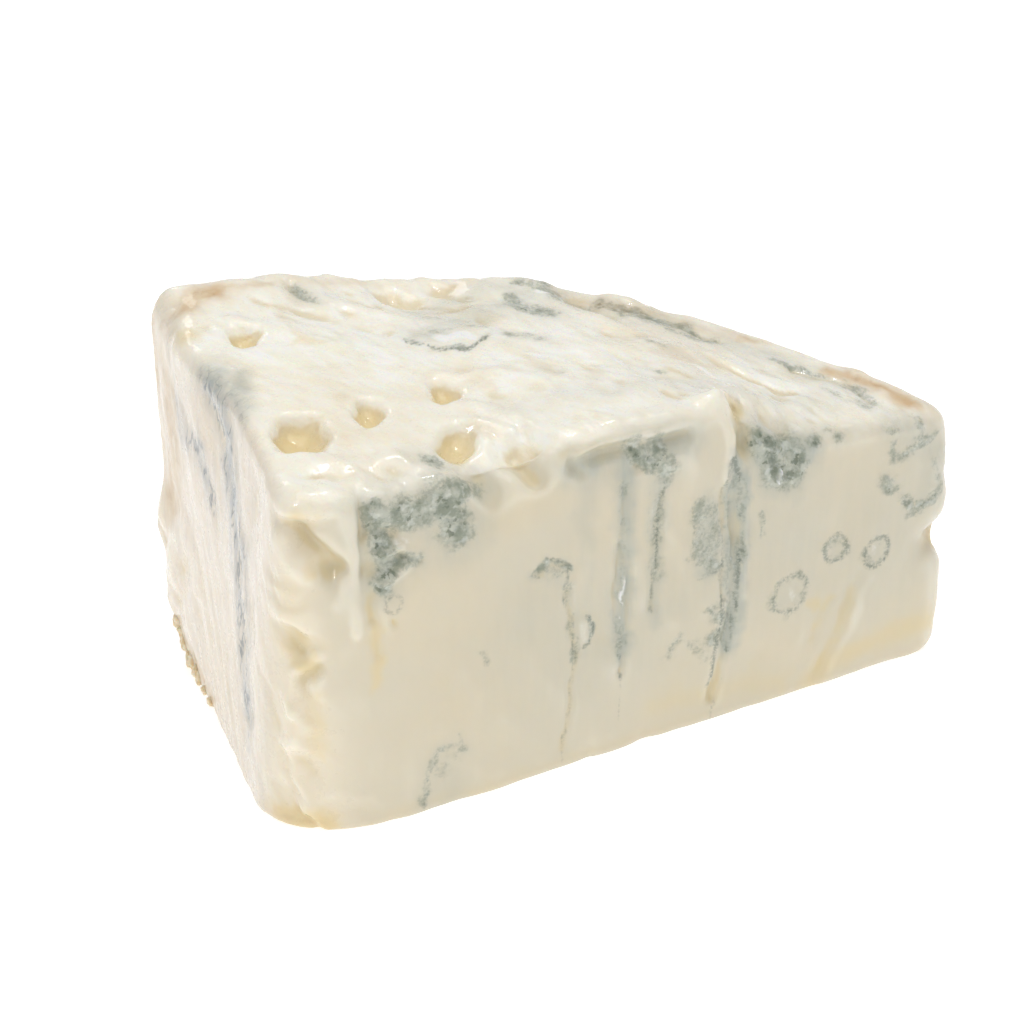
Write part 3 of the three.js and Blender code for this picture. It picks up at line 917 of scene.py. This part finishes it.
# %% [markdown]
# ## Fine relief
#
# Soft paste drags under a knife, so the top's ridges are long in the direction of the smear. The short cut
# has fine strings that lean towards the tip. Folding a noise at zero and turning it over gives sharp
# crests with round valleys between them, which is what smeared fat looks like and plain noise doesn't.

# %% Noise along each side
FLOW_TURN = math.radians(-62)


def noise_values(*columns):
    return np.array([noise.noise(Vector(place)) for place in np.column_stack(columns)])


def crests(*columns):
    return 1 - 2 * np.abs(noise_values(*columns))


x, y, z = plain_places.T
along_flow = x * math.cos(FLOW_TURN) + y * math.sin(FLOW_TURN)
across_flow = y * math.cos(FLOW_TURN) - x * math.sin(FLOW_TURN)
sway = 3 * noise_values(x / 22, y / 22, z / 22)
CALM_TOP = placed(on_top, [
    ([(16, 40), (34, 37), (48, 34)], 9, 0.95),
    ([(26, 28), (14, 32)], 7, 0.8),
    ([(24, 50), (40, 46)], 7, 0.6),
    ([(22, 14), (34, 14)], 6, 0.6),
])
calm_top = painted(CALM_TOP, places)
patchy = 0.55 + 0.75 * noise_values(x / 16 + 9, y / 16, z / 16)
smears = 0.55 * noise_values((x + sway) / 6.5, (y - sway) / 6.5, z / 9)
smears += 0.26 * crests((along_flow + sway) / 7, (across_flow + sway) / 3.2, z / 9)
smears += 0.14 * noise_values(x / 2.4, y / 2.4, z / 3 + 7)
smears *= 1.3 * patchy
string_line = y - 0.38 * (z - 50)
strings = 0.3 * noise_values(string_line / 4, z / 30, x / 12)
strings += 0.12 * crests(string_line / 1.3, z / 13, x / 9 + 5)
folds = 0.8 * noise_values(x / 14, y / 14, z / 20) + 0.16 * noise_values(x / 4.5, y / 4.5, z / 7 + 4)
skin = 0.5 * noise_values(x / 5, y / 5, z / 5) + 0.3 * crests(x / 2.6, y / 2.6, z / 2.6)
crumbly = 0.5 * noise_values(x / 1.7, y / 1.7, z / 1.7) + 0.35 * crests(x / 2.9, y / 2.9, z / 2.9 + 2)
rough_top = (1 - calm_top) * (1 - 0.8 * in_hole)
relief = shares["top"] * rough_top * smears + shares["side"] * strings + shares["front"] * folds
relief += shares["tip"] * (0.35 * folds + 0.14 * noise_values(x / 3, y / 3, z / 4)) + shares["rind"] * skin
relief += 0.85 * paint["mould"] * crumbly
print("fine relief, mm:", relief.min().round(2), "to", relief.max().round(2))

# %% [markdown]
# ## The finished mesh
#
# The relief moves each vertex along its own normal. The few that reach under the floor are laid flat on it,
# and the flat faces there are joined into one, because nobody sees them and they cost nothing that way.

# %% Place the mesh
finished = places + relief[:, None] * normals
print("folded faces left:", unfold(finished, normals, 4))
finished[:, 2] = np.maximum(finished[:, 2], 0)
cheese.vertices.foreach_set("co", ((finished - MIDDLE) * MILLIMETRE).ravel())

# %% [markdown]
# Hollows are painted yellower and darker, as painted shade, and ridges paler, as painted highlight. How far a
# point lies below the average of its neighbours tells hollows from ridges, at a fine and at a broad scale.

# %% Painted shade in hollows and painted highlight on ridges, then the paint
def below_neighbours(rounds):
    smoothed = finished.copy()
    for turn in range(rounds):
        smoothed = neighbour_mean(smoothed)
    return ((smoothed - finished) * normals).sum(axis=1)


off_floor = smooth_step(finished[:, 2], 0.5, 5)
fine_hollow = below_neighbours(6) * off_floor
broad_hollow = below_neighbours(60) * off_floor
# above 0.5 this is painted shade in hollows, below 0.5 painted highlight on ridges
paint["hollow"] = np.clip(0.5 + 0.9 * fine_hollow + 0.27 * broad_hollow, 0, 1)
for name, hollow in (("fine", fine_hollow), ("broad", broad_hollow)):
    print(name, "hollows, mm:", np.percentile(hollow, [1, 99]).round(3))
# the bloom attribute also carries the painted shade of hollows and painted highlight of ridges in its second
# channel
paint_sets = {
    "stains_and_shade": ("mould", "haze", "yellow_and_shade", "rind"),
    "sides": ("top", "side", "front", "tip"),
    "bloom": ("bloom", "hollow", "line", "bloom"),
}
for set_name, channels in paint_sets.items():
    values = np.column_stack([paint[name] if name in paint else shares[name] for name in channels])
    layer = cheese.color_attributes.new(set_name, "FLOAT_COLOR", "POINT")
    layer.data.foreach_set("color", values.ravel())
grid = bmesh.new()
grid.from_mesh(cheese)
flat = [face for face in grid.faces if max(vertex.co.z for vertex in face.verts) < 1e-7]
bmesh.ops.dissolve_faces(grid, faces=flat)
fill_mesh(cheese, grid)
cheese.update()
wedge = add_to_scene("cheese_surface", cheese)
print("wedge:", sum(len(face.vertices) - 2 for face in cheese.polygons), "triangles")

# %% [markdown]
# ## One material for the whole cheese
#
# Cheese lets light in: it scatters a few millimetres under the surface and comes out softer and warmer.
# Over that lies a thin wet film. So the material is one shader with subsurface scattering and a coat, and
# all that changes over the surface is its colour, its roughness and its bump. Building it from a few
# small functions keeps the node tree readable.

# %% Colours, and small node builders
def colour(red, green, blue):
    channels = []
    for value in (red, green, blue):
        value = value / 255
        channels.append(value / 12.92 if value <= 0.04045 else ((value + 0.055) / 1.055) ** 2.4)
    return (*channels, 1.0)


def new_material(name):
    material = bpy.data.materials.new(name)
    material.use_nodes = True
    return material, material.node_tree.nodes, material.node_tree.links


def set_inputs(node, values):
    for name, value in values.items():
        node.inputs[name].default_value = value


paste, nodes, links = new_material("paste")
shader = nodes["Principled BSDF"]


def plug(socket, value):
    if isinstance(value, bpy.types.NodeSocket):
        links.new(value, socket)
    elif isinstance(value, tuple):
        socket.default_value = colour(*value)
    else:
        socket.default_value = value


def noise_node(scale, detail=3.0, roughness=0.55, stretch=(1, 1, 1), turn=0.0):
    mapping = nodes.new("ShaderNodeMapping")
    mapping.vector_type = "TEXTURE"
    set_inputs(mapping, {"Scale": stretch, "Rotation": (0, 0, turn)})
    links.new(nodes.new("ShaderNodeTexCoord").outputs["Object"], mapping.inputs["Vector"])
    texture = nodes.new("ShaderNodeTexNoise")
    set_inputs(texture, {"Scale": scale, "Detail": detail, "Roughness": roughness})
    links.new(mapping.outputs["Vector"], texture.inputs["Vector"])
    return texture.outputs["Fac"]


def sums(operation, first, second, third=None):
    node = nodes.new("ShaderNodeMath")
    node.operation = operation
    plug(node.inputs[0], first)
    plug(node.inputs[1], second)
    if third is not None:
        plug(node.inputs[2], third)
    return node.outputs[0]


def product(value, *factors):
    for factor in factors:
        value = sums("MULTIPLY", value, factor)
    return value


def scaled(value, factor, plus=0.0):
    return sums("MULTIPLY_ADD", value, factor, plus)


def centred(value):
    return sums("SUBTRACT", value, 0.5)


def ramp(value, low, high, start=0.0, stop=1.0):
    node = nodes.new("ShaderNodeMapRange")
    node.interpolation_type = "SMOOTHSTEP"
    limits = {"Value": value, "From Min": low, "From Max": high, "To Min": start, "To Max": stop}
    for name, amount in limits.items():
        plug(node.inputs[name], amount)
    return node.outputs["Result"]


def mixed(under, over, share):
    node = nodes.new("ShaderNodeMix")
    node.data_type = "RGBA"
    plug(node.inputs["Factor"], share)
    plug(node.inputs[6], under)
    plug(node.inputs[7], over)
    return node.outputs[2]


def covered(under, *layers):
    for over, share in layers:
        under = mixed(under, over, share)
    return under


def painted_channels(name):
    attribute = nodes.new("ShaderNodeAttribute")
    attribute.attribute_name = name
    split = nodes.new("ShaderNodeSeparateColor")
    links.new(attribute.outputs["Color"], split.inputs[0])
    return (*split.outputs[:3], attribute.outputs["Alpha"])


# %% [markdown]
# The speckle trick: a soft paint plus a fine noise, cut off sharply, leaves specks where the paint is weak
# and joins them into a vein where it is strong. Mould grows just like that.

# %% The cheese's colours
mould, haze, yellow_and_shade, rind = painted_channels("stains_and_shade")
top, side, front, tip = painted_channels("sides")
bloom, hollow, line = painted_channels("bloom")[:3]

grain = noise_node(1300, 4, 0.62)
coarse = noise_node(330, 4, 0.6)
cloud = noise_node(34, 3, 0.5)
streak = noise_node(520, 4, 0.6, stretch=(1, 1, 10))
smear = noise_node(330, 3, 0.55, stretch=(2.1, 1, 1.3), turn=FLOW_TURN)
patches = noise_node(95, 3, 0.5, stretch=(1.6, 1, 1), turn=FLOW_TURN)

# the top's paste is painted pale, partly as painted light from above
lit_top_colour = covered(
    (253, 247, 230),
    ((255, 252, 242), ramp(smear, 0.4, 0.6)),
    ((234, 222, 196), ramp(patches, 0.5, 0.72, 0, 0.75)),
)
body_colour = covered(
    # the base colours by side are partly the paste's own tone and partly painted light: the front is painted
    # darker as shade, the top paler as lit
    (219, 210, 187),
    (lit_top_colour, top),
    ((231, 220, 203), side),
    ((236, 225, 202), tip),
    ((228, 212, 180), ramp(cloud, 0.42, 0.75, 0, 0.45)),
    # painted shade in hollows, then painted highlight on ridges
    ((221, 202, 156), ramp(hollow, 0.53, 0.95, 0, 0.6)),
    ((247, 242, 226), ramp(hollow, 0.46, 0.1, 0, 0.45)),
    # the yellow paint: partly the paste's own yellow, partly painted shade in holes, under folds and at the
    # foot
    ((229, 207, 152), ramp(yellow_and_shade, 0, 1, 0, 0.75)),
    # deep tan where that paint is strongest: painted shade in folds and under the foot
    ((186, 164, 112), ramp(yellow_and_shade, 0.95, 1.3, 0, 0.7)),
)

# %% Haze, and the scratches and scribbles of the short cut
scratches = ramp(streak, 0.38, 0.62, scaled(side, -0.35, 0.85))
blots = ramp(noise_node(130, 3, 0.55, stretch=(1, 1, 3)), 0.38, 0.58, scaled(side, -0.4, 0.85))
squiggle = sums("ABSOLUTE", centred(noise_node(300, 3, 0.55, stretch=(1, 1, 3.2))), 0.0)
scribble = product(ramp(squiggle, 0.045, 0), side, ramp(haze, 0.3, 1, 0, 0.85))
body_colour = covered(
    body_colour,
    (mixed((179, 183, 172), (172, 177, 177), side), product(haze, scratches, scaled(side, 0.1, 0.8), blots)),
    ((203, 198, 190), product(side, ramp(streak, 0.46, 0.7, 0, 0.3))),
    ((118, 125, 128), scribble),
)

# %% The mould's stain, rim and specks
ragged = scaled(centred(grain), 0.15, scaled(centred(coarse), 0.6, mould))
stain_colour = covered(
    (188, 191, 177),
    ((138, 146, 129), ramp(coarse, 0.4, 0.62)),
    ((114, 124, 106), ramp(ragged, 0.95, 1.4, 0, 0.9)),
)
rim = product(ramp(ragged, 0.2, 0.45), ramp(ragged, 0.85, 0.45), ramp(grain, 0.42, 0.62))
pits = product(ramp(noise_node(560, 3, 0.5), 0.56, 0.66), ramp(mould, 0.35, 0.8))
fluff = product(ramp(noise_node(430, 3, 0.5), 0.54, 0.66), ramp(mould, 0.3, 0.7))
traced = product(line, ramp(grain, 0.3, 0.6, 0.5, 1))
body_colour = covered(
    body_colour,
    (stain_colour, ramp(ragged, 0.08, 0.9, 0, 0.92)),
    ((124, 133, 116), product(rim, 0.35)),
    ((98, 108, 88), product(pits, 0.75)),
    ((212, 215, 205), product(fluff, 0.6)),
    ((118, 126, 113), ramp(traced, 0.22, 0.9, 0, 0.8)),
)

# %% Rind and bloom
blotch = noise_node(110, 4, 0.6)
rind_colour = covered(
    (224, 205, 172),
    ((209, 178, 136), ramp(blotch, 0.36, 0.74)),
    ((186, 152, 114), ramp(coarse, 0.52, 0.72, 0, 0.5)),
)
body_colour = covered(
    body_colour,
    (rind_colour, product(rind, ramp(blotch, 0.3, 0.6, 0.75, 1))),
    ((246, 246, 243), ramp(scaled(coarse, 0.7, bloom), 0.65, 1.1, 0, 0.9)),
)

# %% Sheen, scattering and bump
gloss = ramp(coarse, 0.3, 0.7, 0.22, 0.4)
gloss = scaled(front, 0.08, scaled(rind, 0.25, gloss))
plug(shader.inputs["Base Color"], body_colour)
plug(shader.inputs["Roughness"], gloss)
set_inputs(shader, {
    "IOR": 1.45,
    "Subsurface Weight": 0.4,
    "Subsurface Radius": (1.0, 0.7, 0.4),
    "Subsurface Scale": 0.002,
    "Coat Weight": 0.5,
    "Coat Roughness": 0.06,
})

wrinkle = noise_node(640, 2, 0.5, stretch=(1.8, 1, 1), turn=FLOW_TURN)
bump_height = product(coarse, 0.5)
for texture, height in (
    (streak, 0.25),
    (product(smear, top, ramp(patches, 0.35, 0.65, 0.35)), 1.1),
    (product(wrinkle, top, ramp(patches, 0.42, 0.6)), 1.2),
    (product(streak, side), 0.5),
    (product(grain, mould), 0.8),
):
    bump_height = scaled(texture, height, bump_height)
bump = nodes.new("ShaderNodeBump")
set_inputs(bump, {"Strength": 0.45, "Distance": 0.0006})
plug(bump.inputs["Height"], bump_height)
links.new(bump.outputs["Normal"], shader.inputs["Normal"])
cheese.materials.append(paste)
print("material nodes:", len(nodes))

# %% [markdown]
# ## Crumbs at the foot
#
# A few crumbs of rind cling to the left foot. They sit where the short cut meets the floor, so they are
# made there, each an icosphere pulled out of round by a noise, and joined into one small piece.

# %% Rind crumbs
CRUMB_PLACES = [
    (79.4, 8.6, 1.5, 0.7), (78.2, 6.0, 1.2, 0.6), (75.8, 4.6, 1.4, 0.4),
    (73.0, 2.6, 1.1, 0.4), (71.4, 2.0, 1.5, 0.0), (68.0, 1.6, 1.1, 0.1),
    (65.6, 1.2, 1.3, -0.2), (61.0, 1.0, 0.9, 0.0), (56.4, 0.8, 1.0, -0.2),
]
CRUMB_STRETCH = 1.5
CRUMB_WOBBLE = 0.45
crumb_mesh = bpy.data.meshes.new("rind_crumbs")
crumbs = bmesh.new()
for number, (along_foot, height, radius, outwards_by) in enumerate(CRUMB_PLACES):
    base = np.array(on_side(along_foot, height)) - MIDDLE
    base[0] -= outwards_by
    made = bmesh.ops.create_icosphere(crumbs, subdivisions=3, radius=radius)
    for vertex in made["verts"]:
        wobble = 1 + CRUMB_WOBBLE * noise.noise(vertex.co / radius * 1.6 + Vector((number * 3.1, 0, 0)))
        place = Vector(base) + wobble * Vector((vertex.co.x, vertex.co.y, CRUMB_STRETCH * vertex.co.z))
        place.z = max(place.z, 0.02)
        vertex.co = place * MILLIMETRE
fill_mesh(crumb_mesh, crumbs)
crumb_piece = add_to_scene("rind_crumbs", crumb_mesh)
print("crumbs:", len(CRUMB_PLACES))

# %% The crumbs' colour
crumb_material, nodes, links = new_material("rind_crumb")
shader = nodes["Principled BSDF"]
crumb_colour = mixed((224, 200, 158), (242, 230, 204), ramp(noise_node(700, 2, 0.5), 0.35, 0.65))
plug(shader.inputs["Base Color"], crumb_colour)
set_inputs(shader, {
    "Roughness": 0.45,
    "Subsurface Weight": 0.4,
    "Subsurface Radius": (1.0, 0.6, 0.35),
    "Subsurface Scale": 0.0015,
})
crumb_mesh.materials.append(crumb_material)
print("crumb material nodes:", len(nodes))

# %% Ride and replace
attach(wedge, "root")
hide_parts("blue_cheese_wedge")
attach(crumb_piece, "root")

# %% [markdown]
# ## A white table and soft light
#
# White food on white needs light from everywhere, or its shadows turn grey and dirty. The table glows a
# little, as a light table does. A wide softbox overhead lights the top, and three small ones, behind, in
# front and at the left, give the wet ridges their sharp highlights.

# %% The floor
floor_mesh = bpy.data.meshes.new("floor")
floor_grid = bmesh.new()
bmesh.ops.create_grid(floor_grid, x_segments=1, y_segments=1, size=4.0)
fill_mesh(floor_mesh, floor_grid)
floor = add_to_scene("floor", floor_mesh)
white, nodes, links = new_material("white_table")
set_inputs(nodes["Principled BSDF"], {
    "Base Color": (0.9, 0.9, 0.9, 1),
    "Roughness": 0.9,
    "Specular IOR Level": 0.0,
    "Emission Color": (1, 1, 1, 1),
    "Emission Strength": 0.45,
})
floor_mesh.materials.append(white)
print("floor:", len(floor_mesh.polygons), "face")

# %% Lights and world
AIM = Vector((0.0, 0.0, 0.045))


def softbox(name, place, width, height, power):
    data = bpy.data.lights.new(name, "AREA")
    data.shape = "RECTANGLE"
    data.size = width
    data.size_y = height
    data.energy = power
    light = add_to_scene(name, data)
    light.location = place
    light.rotation_euler = (AIM - Vector(place)).to_track_quat("-Z", "Y").to_euler()


softbox("back_softbox", (-0.06, 0.6, 0.45), 0.2, 0.14, 0.25)
softbox("front_softbox", (0.2, 0.1, 0.85), 0.09, 0.09, 0.55)
softbox("left_softbox", (-0.45, -0.3, 0.5), 0.07, 0.07, 0.55)
softbox("overhead", (0.1, -0.1, 0.9), 0.8, 0.8, 2.8)
world = bpy.data.worlds.new("studio")
world.use_nodes = True
set_inputs(world.node_tree.nodes["Background"], {"Color": (1, 1, 1, 1), "Strength": 0.5})
bpy.context.scene.world = world
print("lights:", len(bpy.data.lights))

# %% Camera and view
camera_data = bpy.data.cameras.new("camera")
camera_data.sensor_width = 36.0
camera_data.lens = 75.23
camera = add_to_scene("camera", camera_data)
camera.location = (-0.19911, -0.36321, 0.274)
camera.rotation_euler = (math.radians(60), 0, math.radians(-27.876))
bpy.context.scene.camera = camera
bpy.context.scene.view_settings.view_transform = "Standard"
